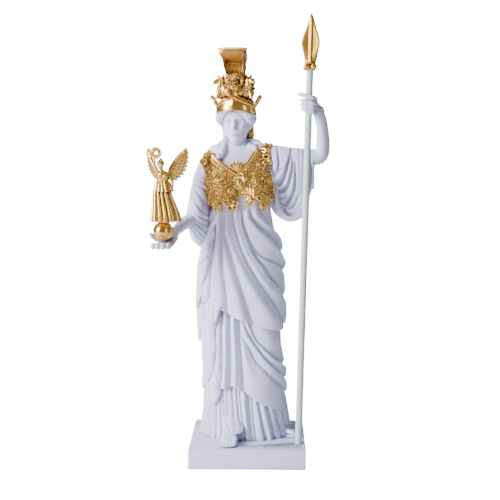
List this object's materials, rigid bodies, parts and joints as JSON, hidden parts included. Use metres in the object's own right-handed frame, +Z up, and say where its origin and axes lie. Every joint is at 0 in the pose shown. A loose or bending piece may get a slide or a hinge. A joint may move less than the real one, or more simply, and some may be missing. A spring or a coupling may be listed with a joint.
{
  "type": "athena figurine",
  "caption": "Standing goddess figurine in a crested helmet and breast cape on a low plinth, a winged victory on a globe in one hand and a long spear in the other.",
  "frame": {"origin": "centre of the plinth's flat underside", "axes": "+Z up along the standing figure, -Y the way she faces, +X her left side and the side of the spear"},
  "size_m": [0.1255, 0.0835, 0.3166],
  "materials": {
    "white_resin": "matte white cast resin",
    "gold_paint": "gold paint with a brown wash in the hollows",
    "spear_grey": "satin pale grey-green paint"
  },
  "bodies": {
    "root": {"figure": "white_resin", "victory_on_globe": "gold_paint", "spear_shaft": "spear_grey", "spear_head": "gold_paint"}
  },
  "joints": []
}
